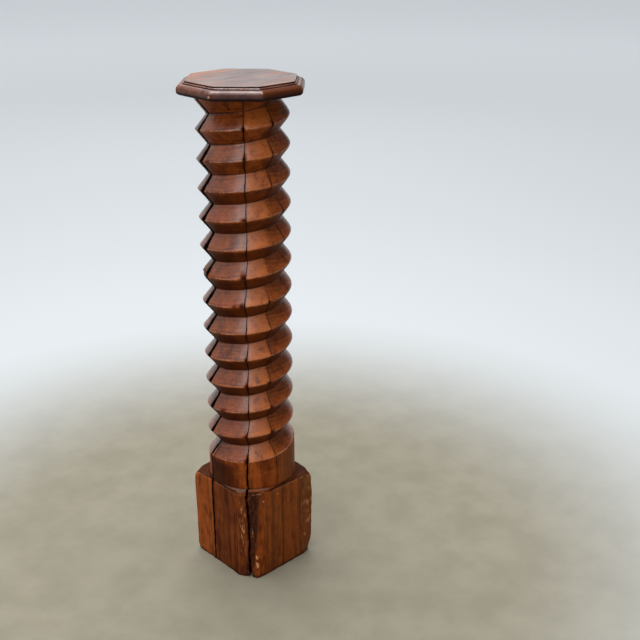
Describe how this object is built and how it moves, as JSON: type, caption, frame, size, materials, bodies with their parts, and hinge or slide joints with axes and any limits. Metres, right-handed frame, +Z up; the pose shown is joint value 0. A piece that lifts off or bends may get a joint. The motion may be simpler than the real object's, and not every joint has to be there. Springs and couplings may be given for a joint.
{
  "type": "wine press screw pedestal",
  "caption": "Old wooden press screw with a coarse helical thread and a square hewn head, standing upright as a pedestal under a moulded octagonal top board.",
  "frame": {"origin": "centre of the underside, on the screw's axis, at the level that the pedestal stands on", "axes": "+Z up along the screw's axis; +X and +Y square to the hewn faces of the head and to flat sides of the octagonal top; the rough waney corner of the head points to -X -Y"},
  "size_m": [0.2512, 0.2512, 1.12],
  "materials": {
    "screw_wood": "old dark red-brown hardwood, waxed to a soft shine, cracked along the grain, with paler worn crests and a rough waney corner on the head",
    "top_wood": "dark red-brown hardwood board, waxed and smooth on top, with arrises worn to lighter wood at the corners"
  },
  "bodies": {
    "root": {"screw": "screw_wood", "octagonal_top": "top_wood"}
  },
  "joints": []
}
